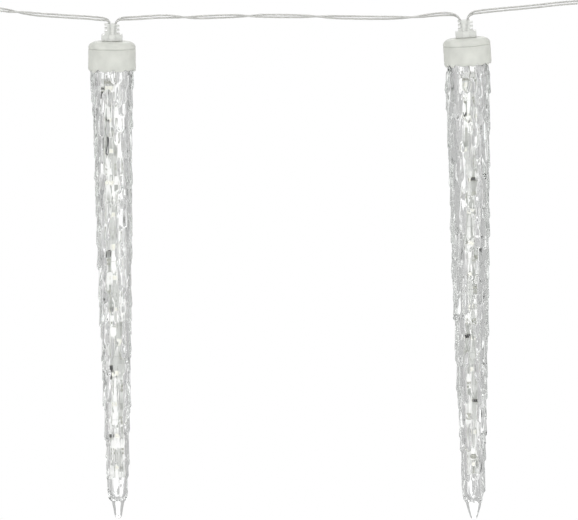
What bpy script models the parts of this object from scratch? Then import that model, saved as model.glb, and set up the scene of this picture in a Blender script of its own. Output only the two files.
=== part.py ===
"""Two clear plastic icicle lights that hang from one clear twin lead.

Metres, +Z up. The origin is the outermost point of the left end loop, where the
string hangs from a hook. +X runs along the string and +Y to its back.
Each icicle has its own frame, with its origin at the middle of the cap's top.
"""

import math
import random

import bmesh
import bpy
from mathutils import Matrix

# Each icicle: the height of its cap's top, where its head and its tube cross that height, how far
# each leans out of the vertical in degrees, how the tube is turned about its axis, how much lower
# than the left one it sits in its collar, and the collar's lower face.
ICICLES = {
    "left": {"z": -0.0206, "head_x": 0.0889, "tube_x": 0.0887, "head_lean": 0.0, "tube_lean": 0.75,
             "turn": 90, "drop": 0.0, "collar_bottom": -0.0178},
    "right": {"z": -0.0184, "head_x": 0.3100, "tube_x": 0.3107, "head_lean": 4.0, "tube_lean": 0.85,
              "turn": 0, "drop": 0.0028, "collar_bottom": -0.0165},
}
GAP = 0.0003  # between solids that touch

# The cap
CAP_RADIUS = 0.0148
SHOULDER = (0.0054, 0.0040)  # half axes of its rounded edge, across and down
LID_HEIGHT = 0.0045
SPIGOT_RADIUS = 0.0130
SPIGOT_HEIGHT = 0.0010
COLLAR_BORE = 0.0139
COLLAR_EDGE = 0.0006
TURNED_STEPS = 24

# The strain relief
FOOT = (0.0131, 0.0088, 0.0040)
BOOT = (0.0093, 0.0068, 0.0075)
BOOT_OVERLAP = 0.0006
SLOT_HEIGHT = 0.0012
SLOT_DEPTH = 0.0018
SLOTS_LEFT = (0.0069, 0.0093)
SLOTS_RIGHT = (0.0058, 0.0083, 0.0107)

# The tube, with each height as a depth under the cap's top
NECK_TOP = 0.0066
NECK_RADIUS = 0.0131
NECK_BOTTOM = 0.0178
# (depth, radius without drips)
TUBE_OUTLINE = [
    (0.0190, 0.0131), (0.0320, 0.0128), (0.0680, 0.0119), (0.1060, 0.0112), (0.1430, 0.0105),
    (0.1810, 0.0095), (0.2190, 0.0084), (0.2570, 0.0071), (0.2820, 0.0062),
]
TIP_OUTLINE = [
    # (depth, half the narrow way, half the wide way)
    (0.2865, 0.0050, 0.0055), (0.2893, 0.0037, 0.0049), (0.2930, 0.0029, 0.0039),
    (0.2968, 0.0024, 0.0027), (0.2988, 0.0017, 0.0018),
]
TIP_END = 0.2996
TUBE_ROWS = 30
TUBE_SIDES = 20
OVAL_SHARE = 0.045
DRIP_HEIGHT = 0.0013
DRIP_LENGTHS = (0.014, 0.030)
DRIP_SWELL = 0.7
DRIP_SEED = 7
BARE_ROWS = 2  # under the neck, where the drips fade in
BORE_OUTLINE = [(NECK_TOP, 0.0098), (0.2780, 0.0046), (0.2850, 0.0037), (0.2875, 0.0019)]
BORE_BOTTOM = 0.2885

# The LED strip, its chips and its leads, in the icicle's frame
STRIP_WIDTH = 0.0080
STRIP_THICKNESS = 0.0004
STRIP_TOP = -0.0242
STRIP_BOTTOM = -0.2740
STRIP_STEPS = 12
STRIP_ROUTES = {
    # (z, x, y) of the strip's middle
    "left": [(-0.024, -0.0021, 0.0030), (-0.070, -0.0018, 0.0028), (-0.133, -0.0012, 0.0020),
             (-0.184, 0.0005, 0.0012), (-0.230, 0.0002, 0.0004), (-0.274, 0.0000, 0.0000)],
    "right": [(-0.024, 0.0004, 0.0030), (-0.070, 0.0010, 0.0026), (-0.133, 0.0002, 0.0018),
              (-0.184, -0.0001, 0.0010), (-0.230, -0.0001, 0.0004), (-0.274, 0.0000, 0.0000)],
}
LED_COUNT = 13
LED_TOP = -0.0297
LED_PITCH = 0.0198
LED_SIZE = (0.0035, 0.0012, 0.0028)
INNER_LEAD_RADIUS = 0.0005
INNER_LEAD_STEP = 0.0028
INNER_LEADS = {
    # (x, y, z) from under the lid to the pads at the strip's top
    ("left", "a"): [(-0.0016, 0.0, -0.0059), (-0.0030, -0.0015, -0.0110), (-0.0038, -0.0005, -0.0170),
                    (-0.0040, 0.0012, -0.0220), (-0.0040, 0.0021, -0.0262)],
    ("left", "b"): [(0.0016, 0.0, -0.0059), (0.0022, -0.0015, -0.0110), (0.0006, -0.0005, -0.0170),
                    (0.0001, 0.0012, -0.0220), (-0.0001, 0.0021, -0.0262)],
    ("right", "a"): [(-0.0014, 0.0, -0.0059), (-0.0030, -0.0020, -0.0120), (-0.0062, -0.0014, -0.0180),
                     (-0.0050, 0.0008, -0.0230), (-0.0016, 0.0021, -0.0262)],
    ("right", "b"): [(0.0018, 0.0, -0.0059), (0.0006, -0.0020, -0.0110), (-0.0002, -0.0010, -0.0170),
                     (0.0018, 0.0008, -0.0220), (0.0024, 0.0021, -0.0262)],
}

# The lead: two wires side by side that twist loosely round each other
WIRE_RADIUS = 0.000625
PAIR_OFFSET = 0.00082
WIRE_STEP = 0.0042
ROUTE_FINENESS = 16
LEAD_ROUTES = {
    # (x, z, twist in degrees) of the middle between the two wires
    "left": [
        (0.0873, -0.00865, 0), (0.0867, -0.0079, 8), (0.0858, -0.0073, 22), (0.0846, -0.0070, 40),
        (0.0825, -0.0067, 65), (0.0781, -0.0063, 85), (0.0719, -0.0058, 90), (0.0638, -0.0054, 90),
        (0.0550, -0.0048, 90), (0.0469, -0.0043, 92), (0.0394, -0.0036, 108), (0.0338, -0.0029, 140),
        (0.0294, -0.0023, 180), (0.0244, -0.0016, 225), (0.0188, -0.0008, 255), (0.0150, -0.0002, 270),
    ],
    "middle": [
        (0.0915, -0.00865, 0), (0.0921, -0.0080, 6), (0.0930, -0.0073, 16), (0.0943, -0.0068, 30),
        (0.0965, -0.0065, 52), (0.1038, -0.0062, 80), (0.1125, -0.0056, 90), (0.1188, -0.0053, 95),
        (0.1256, -0.0053, 115), (0.1350, -0.0057, 180), (0.1450, -0.0056, 245), (0.1560, -0.0052, 270),
        (0.1660, -0.0049, 300), (0.1750, -0.0049, 360), (0.1844, -0.0048, 425), (0.1938, -0.0049, 450),
        (0.2050, -0.0050, 475), (0.2181, -0.0052, 540), (0.2290, -0.0056, 600), (0.2444, -0.0059, 630),
        (0.2581, -0.0060, 645), (0.2690, -0.0059, 680), (0.2769, -0.0056, 720), (0.2825, -0.0050, 750),
        (0.2894, -0.0042, 780), (0.2950, -0.0037, 805), (0.2994, -0.0037, 840), (0.3022, -0.0042, 865),
        (0.3046, -0.0053, 890), (0.3057, -0.0066, 900),
    ],
    "right": [
        (0.3109, -0.0063, 0), (0.3114, -0.0053, 8), (0.3122, -0.0042, 22), (0.3136, -0.0033, 42),
        (0.3160, -0.0026, 65), (0.3205, -0.0020, 85), (0.3312, -0.0009, 90), (0.3431, 0.0002, 90),
        (0.3544, 0.0013, 90), (0.3650, 0.0025, 90), (0.3725, 0.0032, 90), (0.3800, 0.0038, 90),
        (0.3860, 0.0043, 90), (0.3914, 0.0047, 90),
    ],
}

# The tied ends: (inner face of the knot, outward direction along X)
KNOT_LENGTH = 0.0038
KNOT_RADIUS = 0.0021
KNOT_EDGE = (0.0016, 0.0010)  # radius at its faces, and half the length of its full radius
KNOT_STEPS = 12
LOOP_LENGTH = 0.0100
LOOP_HALF_WIDTH = 0.0061
LOOP_TAPER = 1.6
LOOP_FOOT_OFFSET = 0.0009
LOOP_STEPS = 16
LEFT_KNOT_FACE = WIRE_RADIUS + LOOP_LENGTH + GAP + KNOT_LENGTH
ENDS = {"left": (LEFT_KNOT_FACE, 0.0, -1), "right": (0.3917, 0.0047, 1)}

COLOURS = {
    # name: (colour, roughness, alpha)
    "clear_plastic": ((0.92, 0.93, 0.92), 0.05, 0.35),
    "frosted_plastic": ((0.80, 0.81, 0.78), 0.35, 0.60),
    "lead_plastic": ((0.72, 0.73, 0.72), 0.25, 0.70),
    "strip_white": ((0.90, 0.91, 0.89), 0.45, 1.0),
    "led_white": ((0.86, 0.84, 0.72), 0.30, 1.0),
}


def clear_scene():
    for obj in list(bpy.data.objects):
        bpy.data.objects.remove(obj)
    for name in ("icicle_light_string", "cutters"):
        collection = bpy.data.collections.new(name)
        bpy.context.scene.collection.children.link(collection)
    bpy.data.collections["cutters"].hide_render = True


def material(name):
    made = bpy.data.materials.get(name)
    if made:
        return made
    colour, roughness, alpha = COLOURS[name]
    made = bpy.data.materials.new(name)
    made.use_nodes = True
    shader = made.node_tree.nodes["Principled BSDF"]
    shader.inputs["Base Color"].default_value = (*colour, 1)
    shader.inputs["Roughness"].default_value = roughness
    shader.inputs["Alpha"].default_value = alpha
    return made


def place(name, data, parent, material_name):
    """An object for a mesh or a curve, in the part's collection."""
    obj = bpy.data.objects.new(name, data)
    bpy.data.collections["icicle_light_string"].objects.link(obj)
    obj.parent = parent
    if material_name not in data.materials:
        data.materials.append(material(material_name))
    return obj


def helper_empty(name, x, z, lean):
    """A frame whose +Z leans by that many degrees towards -X, so that what hangs leans to +X."""
    empty = bpy.data.objects.new(name, None)
    bpy.data.collections["icicle_light_string"].objects.link(empty)
    empty.location = (x, 0, z)
    empty.rotation_euler.y = -math.radians(lean)
    return empty


def mesh_from(name, bm, smooth_angle=35):
    bmesh.ops.recalc_face_normals(bm, faces=bm.faces)
    mesh = bpy.data.meshes.new(name)
    bm.to_mesh(mesh)
    bm.free()
    mesh.shade_smooth()
    mesh.set_sharp_from_angle(angle=math.radians(smooth_angle))
    return mesh


def block_mesh(name, size, centre):
    bm = bmesh.new()
    bmesh.ops.create_cube(bm, size=1, matrix=Matrix.Translation(centre) @ Matrix.Diagonal((*size, 1)))
    return mesh_from(name, bm)


def turned(name, profile, parent, material_name, closed=False, steps=TURNED_STEPS):
    """A profile of (radius, z), top to bottom down its outer side, turned about Z."""
    edges = [(i, i + 1) for i in range(len(profile) - 1)]
    if closed:
        edges.append((len(profile) - 1, 0))
    mesh = bpy.data.meshes.new(name)
    mesh.from_pydata([(r, 0, z) for r, z in profile], edges, [])
    obj = place(name, mesh, parent, material_name)
    screw = obj.modifiers.new("turn", "SCREW")
    screw.steps = screw.render_steps = steps
    screw.use_merge_vertices = True
    screw.merge_threshold = 0.00001
    screw.use_smooth_shade = True
    return obj


def arc(centre, radii, start, end, steps):
    """Points on an ellipse in a profile's plane, with angles in degrees from +X."""
    angles = [math.radians(start + (end - start) * i / steps) for i in range(steps + 1)]
    return [(centre[0] + radii[0] * math.cos(a), centre[1] + radii[1] * math.sin(a)) for a in angles]


def smooth_route(points, step, measured=3):
    """A Catmull-Rom curve through points, cut evenly by length over the first coordinates."""
    before = [2 * a - b for a, b in zip(points[0], points[1])]
    after = [2 * a - b for a, b in zip(points[-1], points[-2])]
    padded = [before, *points, after]
    fine = []
    for p0, p1, p2, p3 in zip(padded, padded[1:], padded[2:], padded[3:]):
        for i in range(ROUTE_FINENESS):
            t = i / ROUTE_FINENESS
            fine.append([
                0.5 * (2 * b + (c - a) * t + (2 * a - 5 * b + 4 * c - d) * t**2
                       + (3 * b - a - 3 * c + d) * t**3)
                for a, b, c, d in zip(p0, p1, p2, p3)
            ])
    fine.append(list(points[-1]))
    along = [0.0]
    for a, b in zip(fine, fine[1:]):
        along.append(along[-1] + math.dist(a[:measured], b[:measured]))
    count = math.ceil(along[-1] / step)
    found, at = [], 0
    for i in range(count + 1):
        target = along[-1] * i / count
        while at < len(along) - 2 and along[at + 1] < target:
            at += 1
        share = (target - along[at]) / (along[at + 1] - along[at])
        found.append([a + (b - a) * share for a, b in zip(fine[at], fine[at + 1])])
    return found


def wire(name, points, radius, parent, material_name):
    """A round wire along points, with closed ends."""
    curve = bpy.data.curves.new(name, "CURVE")
    curve.dimensions = "3D"
    curve.bevel_depth = radius
    curve.bevel_resolution = 2
    curve.use_fill_caps = True
    spline = curve.splines.new("POLY")
    spline.points.add(len(points) - 1)
    for target, point in zip(spline.points, points):
        target.co = (*point, 1)
    return place(name, curve, parent, material_name)


def make_cap(side, head):
    lid = [(0, 0)]
    lid += arc((CAP_RADIUS - SHOULDER[0], -SHOULDER[1]), SHOULDER, 90, 0, 5)
    lid += [(CAP_RADIUS, -LID_HEIGHT), (SPIGOT_RADIUS, -LID_HEIGHT)]
    lid += [(SPIGOT_RADIUS, -LID_HEIGHT - SPIGOT_HEIGHT), (0, -LID_HEIGHT - SPIGOT_HEIGHT)]
    turned(f"{side}_cap_lid", lid, head, "frosted_plastic")
    top, bottom = -LID_HEIGHT - GAP, ICICLES[side]["collar_bottom"]
    collar = [
        (CAP_RADIUS, top), (CAP_RADIUS, bottom + COLLAR_EDGE),
        (CAP_RADIUS - COLLAR_EDGE / 2, bottom), (COLLAR_BORE, bottom), (COLLAR_BORE, top),
    ]
    turned(f"{side}_cap_collar", collar, head, "frosted_plastic", closed=True)


def cutter(name, size, centre, parent):
    obj = bpy.data.objects.new(name, block_mesh(name, size, centre))
    bpy.data.collections["cutters"].objects.link(obj)
    obj.parent = parent
    obj.display_type = "WIRE"
    obj.hide_render = True
    return obj


def boolean(obj, other, operation):
    modifier = obj.modifiers.new(other.name, "BOOLEAN")
    modifier.operation = operation
    modifier.solver = "EXACT"
    modifier.object = other


def make_strain_relief(side, head):
    """A foot and a boot in one piece, with slots from both sides that leave staggered ribs."""
    foot_z = GAP + FOOT[2] / 2
    mesh = block_mesh(f"{side}_strain_relief", FOOT, (0, 0, foot_z))
    relief = place(f"{side}_strain_relief", mesh, head, "frosted_plastic")
    boot_z = GAP + FOOT[2] - BOOT_OVERLAP + BOOT[2] / 2
    boolean(relief, cutter(f"{side}_boot", BOOT, (0, 0, boot_z), head), "UNION")
    for direction, heights in ((-1, SLOTS_LEFT), (1, SLOTS_RIGHT)):
        for number, height in enumerate(heights):
            size = (2 * SLOT_DEPTH, 2 * BOOT[1], SLOT_HEIGHT)
            centre = (direction * BOOT[0] / 2, 0, height)
            slot = cutter(f"{side}_slot_{direction}_{number}", size, centre, head)
            boolean(relief, slot, "DIFFERENCE")


def outline_radius(depth):
    """The tube's radius without drips, between the outline's points."""
    for (d0, r0), (d1, r1) in zip(TUBE_OUTLINE, TUBE_OUTLINE[1:]):
        if depth <= d1:
            return r0 + (r1 - r0) * (depth - d0) / (d1 - d0)
    return TUBE_OUTLINE[-1][1]


def drip_columns():
    """For each side of the tube, the depths at which one drip ends and the next begins."""
    chance = random.Random(DRIP_SEED)
    columns = []
    for _ in range(TUBE_SIDES):
        ends = [TUBE_OUTLINE[0][0] - chance.uniform(0, DRIP_LENGTHS[1])]
        while ends[-1] < TUBE_OUTLINE[-1][0]:
            ends.append(ends[-1] + chance.uniform(*DRIP_LENGTHS))
        columns.append(ends)
    return columns


def drip_height(ends, depth):
    """A drip swells towards its lower end and then steps back in."""
    for start, end in zip(ends, ends[1:]):
        if start <= depth < end:
            return DRIP_HEIGHT * ((depth - start) / (end - start)) ** DRIP_SWELL
    return 0.0


def ring(radius_at, depth, turn, oval_share=OVAL_SHARE):
    points = []
    for i in range(TUBE_SIDES):
        angle = 2 * math.pi * i / TUBE_SIDES
        oval = 1 + oval_share * math.cos(2 * angle - 2 * math.radians(turn))
        radius = radius_at(i) * oval
        points.append((radius * math.cos(angle), radius * math.sin(angle), -depth))
    return points


def tube_rings(turn):
    """The tube's sections, from its tip up the outside to the neck and down the inside."""
    columns = drip_columns()
    shift = round(turn / 360 * TUBE_SIDES)
    columns = columns[-shift:] + columns[:-shift]
    rings = []
    for depth, narrow, wide in reversed(TIP_OUTLINE):
        middle = (wide + narrow) / 2
        rings.append(ring(lambda i, r=middle: r, depth, turn, (wide - narrow) / (wide + narrow)))
    first, last = TUBE_OUTLINE[0][0], TUBE_OUTLINE[-1][0]
    for row in range(TUBE_ROWS, -1, -1):
        depth = first + (last - first) * row / TUBE_ROWS
        fade = min(1, row / BARE_ROWS)
        rings.append(ring(
            lambda i: outline_radius(depth) + fade * drip_height(columns[i], depth), depth, turn))
    neck = NECK_RADIUS / (1 + OVAL_SHARE)
    rings += [ring(lambda i: neck, depth, turn) for depth in (NECK_BOTTOM, NECK_TOP)]
    rings += [ring(lambda i, r=r: r, depth, turn) for depth, r in BORE_OUTLINE]
    return rings


def make_tube(side, hang, icicle):
    bm = bmesh.new()
    loops = [[bm.verts.new(p) for p in points] for points in tube_rings(icicle["turn"])]
    for lower, upper in zip(loops, loops[1:]):
        for i in range(TUBE_SIDES):
            j = (i + 1) % TUBE_SIDES
            bm.faces.new((lower[i], lower[j], upper[j], upper[i]))
    for loop, depth in ((loops[0], TIP_END), (loops[-1], BORE_BOTTOM)):
        pole = bm.verts.new((0, 0, -depth))
        for i in range(TUBE_SIDES):
            bm.faces.new((loop[i], loop[(i + 1) % TUBE_SIDES], pole))
    tube = place(f"{side}_tube", mesh_from(f"{side}_tube", bm), hang, "clear_plastic")
    tube.location.z = -icicle["drop"]


def strip_point(side, z):
    """(x, y) of the strip's middle at a height in the icicle's frame."""
    route = STRIP_ROUTES[side]
    for (z0, x0, y0), (z1, x1, y1) in zip(route, route[1:]):
        if z >= z1 or z1 == route[-1][0]:
            share = min(1, max(0, (z - z0) / (z1 - z0)))
            share = share * share * (3 - 2 * share)
            return x0 + (x1 - x0) * share, y0 + (y1 - y0) * share
    return route[-1][1:]


def make_strip(side, hang):
    """The flexible circuit strip: an open ribbon, thickened to its back."""
    bm = bmesh.new()
    rows = []
    for step in range(STRIP_STEPS + 1):
        z = STRIP_TOP + (STRIP_BOTTOM - STRIP_TOP) * step / STRIP_STEPS
        x, y = strip_point(side, z)
        rows.append([bm.verts.new((x + s * STRIP_WIDTH / 2, y, z)) for s in (-1, 1)])
    for above, below in zip(rows, rows[1:]):
        bm.faces.new((above[0], below[0], below[1], above[1]))
    mesh = bpy.data.meshes.new(f"{side}_led_strip")
    bm.to_mesh(mesh)
    bm.free()
    strip = place(f"{side}_led_strip", mesh, hang, "strip_white")
    solid = strip.modifiers.new("thickness", "SOLIDIFY")
    solid.thickness = STRIP_THICKNESS
    solid.offset = -1


def make_leds(side, hang):
    mesh = block_mesh(f"{side}_led", LED_SIZE, (0, -GAP - LED_SIZE[1] / 2, 0))
    for number in range(LED_COUNT):
        z = LED_TOP - LED_PITCH * number
        x, y = strip_point(side, z)
        half = LED_SIZE[2] / 2
        slope = (strip_point(side, z + half)[1] - strip_point(side, z - half)[1]) / LED_SIZE[2]
        led = place(f"{side}_led_{number + 1:02d}", mesh, hang, "led_white")
        led.location = (x, y, z)
        led.rotation_euler.x = -math.atan(slope)


def make_inner_leads(side, hang):
    for letter in "ab":
        route = smooth_route(INNER_LEADS[side, letter], INNER_LEAD_STEP)
        wire(f"{side}_inner_lead_{letter}", route, INNER_LEAD_RADIUS, hang, "lead_plastic")


def make_lead(run):
    """The two wires of one stretch of the lead, on either side of its middle line."""
    twisted = [(x, z, math.radians(twist)) for x, z, twist in LEAD_ROUTES[run]]
    middle = smooth_route(twisted, WIRE_STEP, measured=2)
    for letter, side in (("a", 1), ("b", -1)):
        points = []
        for x, z, twist in middle:
            offset = side * PAIR_OFFSET
            points.append((x, offset * math.cos(twist), z + offset * math.sin(twist)))
        wire(f"lead_{run}_{letter}", points, WIRE_RADIUS, None, "lead_plastic")


def make_end(name, face_x, z, outward):
    """A wrapped knot across the two wires, and the loop that a hook holds."""
    half = KNOT_LENGTH / 2
    profile = [(0, half), (KNOT_EDGE[0], half), (KNOT_RADIUS, KNOT_EDGE[1])]
    profile += [(r, -h) for r, h in reversed(profile)]
    knot = turned(f"knot_{name}", profile, None, "lead_plastic", steps=KNOT_STEPS)
    knot.location = (face_x + outward * half, 0, z)
    knot.rotation_euler.y = math.pi / 2
    start = face_x + outward * (KNOT_LENGTH + GAP)
    route = []
    for step in range(LOOP_STEPS + 1):
        angle = 2 * math.pi * step / LOOP_STEPS
        along = LOOP_LENGTH * (1 - math.cos(angle)) / 2
        across = LOOP_HALF_WIDTH * math.sin(angle) * math.sin(angle / 2) ** LOOP_TAPER
        across += LOOP_FOOT_OFFSET * math.cos(angle / 2)
        route.append((start + outward * along, 0, z + across))
    wire(f"end_loop_{name}", route, WIRE_RADIUS, None, "lead_plastic")


def make_icicle(side, icicle):
    head, hang = [
        helper_empty(f"{side}_{name}_frame", icicle[f"{name}_x"], icicle["z"], icicle[f"{name}_lean"])
        for name in ("head", "tube")
    ]
    make_cap(side, head)
    make_strain_relief(side, head)
    make_tube(side, hang, icicle)
    make_strip(side, hang)
    make_leds(side, hang)
    make_inner_leads(side, hang)


def main():
    clear_scene()
    for side, icicle in ICICLES.items():
        make_icicle(side, icicle)
    for run in LEAD_ROUTES:
        make_lead(run)
    for name, (face_x, z, outward) in ENDS.items():
        make_end(name, face_x, z, outward)


main()
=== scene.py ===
"""The looks of the icicle light string: two clear drip-covered tubes on a clear twin lead.

Metres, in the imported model's frame: +X along the string, +Y to its back, +Z up.
Each icicle is built in a frame of its own, with its origin at the middle of the cap's top.
Depths in it are measured down from there.
"""

import math
import random

import bmesh
import bpy
import numpy as np
from mathutils import Matrix, Vector


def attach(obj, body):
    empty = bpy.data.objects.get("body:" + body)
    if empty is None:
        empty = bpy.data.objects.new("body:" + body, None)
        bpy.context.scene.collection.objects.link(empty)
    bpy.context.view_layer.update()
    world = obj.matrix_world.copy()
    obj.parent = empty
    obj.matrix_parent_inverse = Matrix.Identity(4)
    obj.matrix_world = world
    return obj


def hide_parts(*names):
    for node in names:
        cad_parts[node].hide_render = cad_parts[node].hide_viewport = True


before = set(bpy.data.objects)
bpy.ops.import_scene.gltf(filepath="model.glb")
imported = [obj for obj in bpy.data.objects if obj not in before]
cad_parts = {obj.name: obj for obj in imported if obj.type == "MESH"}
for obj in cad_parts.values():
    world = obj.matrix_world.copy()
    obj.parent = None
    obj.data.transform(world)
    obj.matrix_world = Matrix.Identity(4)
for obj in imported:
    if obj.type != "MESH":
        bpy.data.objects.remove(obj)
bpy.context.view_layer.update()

# ---- shared with the CAD -------------------------------------------------------------------

# Each icicle: its place and the places and leans (degrees) of its head and tube, the turn of its
# tip's wide way (degrees), the tube's drop below its frame, its collar's rim, and a random seed
ICICLES = {
    "left": {
        "z": -0.0206, "head_x": 0.0889, "tube_x": 0.0887, "head_lean": 0.0, "tube_lean": 0.75,
        "turn": 90, "drop": 0.0, "rim": 0.0174, "seed": 11,
    },
    "right": {
        "z": -0.0184, "head_x": 0.3100, "tube_x": 0.3107, "head_lean": 4.0, "tube_lean": 0.85,
        "turn": 0, "drop": 0.0028, "rim": 0.0160, "seed": 29,
    },
}
GAP = 0.0003

WIRE_RADIUS = 0.000625
PAIR_OFFSET = 0.00082
LEAD_ROUTES = {
    # (x, z, twist in degrees) of the middle between the two wires
    "left": [
        (0.0873, -0.00865, 0), (0.0867, -0.0079, 8), (0.0858, -0.0073, 22), (0.0846, -0.0070, 40),
        (0.0825, -0.0067, 65), (0.0781, -0.0063, 85), (0.0719, -0.0058, 90), (0.0638, -0.0054, 90),
        (0.0550, -0.0048, 90), (0.0469, -0.0043, 92), (0.0394, -0.0036, 108),
        (0.0338, -0.0029, 140), (0.0294, -0.0023, 180), (0.0244, -0.0016, 225),
        (0.0188, -0.0008, 255), (0.0150, -0.0002, 270),
    ],
    "middle": [
        (0.0915, -0.00865, 0), (0.0921, -0.0080, 6), (0.0930, -0.0073, 16), (0.0943, -0.0068, 30),
        (0.0965, -0.0065, 52), (0.1038, -0.0062, 80), (0.1125, -0.0056, 90), (0.1188, -0.0053, 95),
        (0.1256, -0.0053, 115), (0.1350, -0.0057, 180), (0.1450, -0.0056, 245),
        (0.1560, -0.0052, 270), (0.1660, -0.0049, 300), (0.1750, -0.0049, 360),
        (0.1844, -0.0048, 425), (0.1938, -0.0049, 450), (0.2050, -0.0050, 475),
        (0.2181, -0.0052, 540), (0.2290, -0.0056, 600), (0.2444, -0.0059, 630),
        (0.2581, -0.0060, 645), (0.2690, -0.0059, 680), (0.2769, -0.0056, 720),
        (0.2825, -0.0050, 750), (0.2894, -0.0042, 780), (0.2950, -0.0037, 805),
        (0.2994, -0.0037, 840), (0.3022, -0.0042, 865), (0.3046, -0.0053, 890),
        (0.3057, -0.0066, 900),
    ],
    "right": [
        (0.3109, -0.0063, 0), (0.3114, -0.0053, 8), (0.3122, -0.0042, 22), (0.3136, -0.0033, 42),
        (0.3160, -0.0026, 65), (0.3205, -0.0020, 85), (0.3312, -0.0009, 90), (0.3431, 0.0002, 90),
        (0.3544, 0.0013, 90), (0.3650, 0.0025, 90), (0.3725, 0.0032, 90), (0.3800, 0.0038, 90),
        (0.3860, 0.0043, 90), (0.3914, 0.0047, 90),
    ],
}
KNOT_LENGTH = 0.0038
KNOT_RADIUS = 0.0021
LOOP_LENGTH = 0.0100
LOOP_HALF_WIDTH = 0.0061
LOOP_TAPER = 1.6
LOOP_FOOT_OFFSET = 0.0009
LEFT_KNOT_FACE = WIRE_RADIUS + LOOP_LENGTH + GAP + KNOT_LENGTH
ENDS = {"left": (LEFT_KNOT_FACE, 0.0, -1), "right": (0.3917, 0.0047, 1)}

CAP_RADIUS = 0.0148
SHOULDER = (0.0054, 0.0040)
LID_HEIGHT = 0.0045
SPIGOT_RADIUS = 0.0130
SPIGOT_HEIGHT = 0.0010
COLLAR_BORE = 0.0139

FOOT = (0.0131, 0.0088, 0.0040)
BOOT = (0.0093, 0.0068, 0.0075)
BOOT_OVERLAP = 0.0006
SLOT_HEIGHT = 0.0012
SLOT_DEPTH = 0.0018
SLOTS_LEFT = (0.0069, 0.0093)
SLOTS_RIGHT = (0.0058, 0.0083, 0.0107)

NECK_TOP = 0.0066
NECK_RADIUS = 0.0131
NECK_BOTTOM = 0.0178
TUBE_OUTLINE = [
    (0.0190, 0.0131), (0.0320, 0.0128), (0.0680, 0.0119), (0.1060, 0.0112), (0.1430, 0.0105),
    (0.1810, 0.0095), (0.2190, 0.0084), (0.2570, 0.0071), (0.2820, 0.0062),
]
TIP_OUTLINE = [
    # (depth, half the narrow way, half the wide way)
    (0.2865, 0.0050, 0.0055), (0.2893, 0.0037, 0.0049), (0.2930, 0.0029, 0.0039),
    (0.2968, 0.0024, 0.0027), (0.2988, 0.0017, 0.0018),
]
TIP_END = 0.2996
TIP_SQUARENESS = 3.5  # exponent of the tip's rounded-square section
OVAL_SHARE = 0.045
BORE_OUTLINE = [(NECK_TOP, 0.0098), (0.2780, 0.0046)]
BORE_BOTTOM = 0.2885

STRIP_WIDTH = 0.0080
STRIP_THICKNESS = 0.0004
STRIP_TOP = -0.0242
STRIP_BOTTOM = -0.2740
STRIP_ROUTES = {
    # (z, x, y) of the strip's middle
    "left": [(-0.024, -0.0021, 0.0030), (-0.070, -0.0018, 0.0028), (-0.133, -0.0012, 0.0020),
             (-0.184, 0.0005, 0.0012), (-0.230, 0.0002, 0.0004), (-0.274, 0.0000, 0.0000)],
    "right": [(-0.024, 0.0004, 0.0030), (-0.070, 0.0010, 0.0026), (-0.133, 0.0002, 0.0018),
              (-0.184, -0.0001, 0.0010), (-0.230, -0.0001, 0.0004), (-0.274, 0.0000, 0.0000)],
}
LED_COUNT = 13
LED_TOP = -0.0297
LED_PITCH = 0.0198
LED_SIZE = (0.0035, 0.0012, 0.0028)
INNER_LEAD_RADIUS = 0.0005
INNER_LEAD_STEP = 0.0007
BARE_WIRE_RADIUS = 0.8 * INNER_LEAD_RADIUS
INNER_LEADS = {
    # (x, y, z) from under the lid to the pads at the strip's top
    ("left", "a"): [
        (-0.0016, 0.0, -0.0059), (-0.0030, -0.0015, -0.0110), (-0.0038, -0.0005, -0.0170),
        (-0.0040, 0.0012, -0.0220), (-0.0040, 0.0021, -0.0262),
    ],
    ("left", "b"): [
        (0.0016, 0.0, -0.0059), (0.0022, -0.0015, -0.0110), (0.0006, -0.0005, -0.0170),
        (0.0001, 0.0012, -0.0220), (-0.0001, 0.0021, -0.0262),
    ],
    ("right", "a"): [
        (-0.0014, 0.0, -0.0059), (-0.0030, -0.0020, -0.0120), (-0.0062, -0.0014, -0.0180),
        (-0.0050, 0.0008, -0.0230), (-0.0016, 0.0021, -0.0262),
    ],
    ("right", "b"): [
        (0.0018, 0.0, -0.0059), (0.0006, -0.0020, -0.0110), (-0.0002, -0.0010, -0.0170),
        (0.0018, 0.0008, -0.0220), (0.0024, 0.0021, -0.0262),
    ],
}


# ---- camera --------------------------------------------------------------------------------

VIEW_TARGET = Vector((0.1994, 0.0, -0.1578))
VIEW_ELEVATION = math.radians(5.2)
VIEW_DISTANCE = 10.0
VIEW_WIDTH = 0.36125  # of the picture, at the target
SENSOR_MM = 36.0


def make_camera():
    data = bpy.data.cameras.new("camera")
    data.sensor_width = SENSOR_MM
    data.lens = SENSOR_MM * VIEW_DISTANCE / VIEW_WIDTH
    data.clip_end = 100
    camera = bpy.data.objects.new("camera", data)
    bpy.context.scene.collection.objects.link(camera)
    back = Vector((0, -math.cos(VIEW_ELEVATION), math.sin(VIEW_ELEVATION)))
    camera.location = VIEW_TARGET + VIEW_DISTANCE * back
    camera.rotation_euler = back.to_track_quat("Z", "Y").to_euler()
    bpy.context.scene.camera = camera


# ---- materials -----------------------------------------------------------------------------

NOISE_SPREAD = (0.3, 0.7)  # what a noise texture's factor mostly keeps to


def map_range(tree, value, known, wanted, interpolation="LINEAR"):
    """A Map Range node: the known range of a value, spread over the wanted one."""
    node = tree.nodes.new("ShaderNodeMapRange")
    node.interpolation_type = interpolation
    tree.links.new(value, node.inputs["Value"])
    for socket, number in zip(("From Min", "From Max", "To Min", "To Max"), known + wanted):
        node.inputs[socket].default_value = number
    return node.outputs["Result"]


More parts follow.
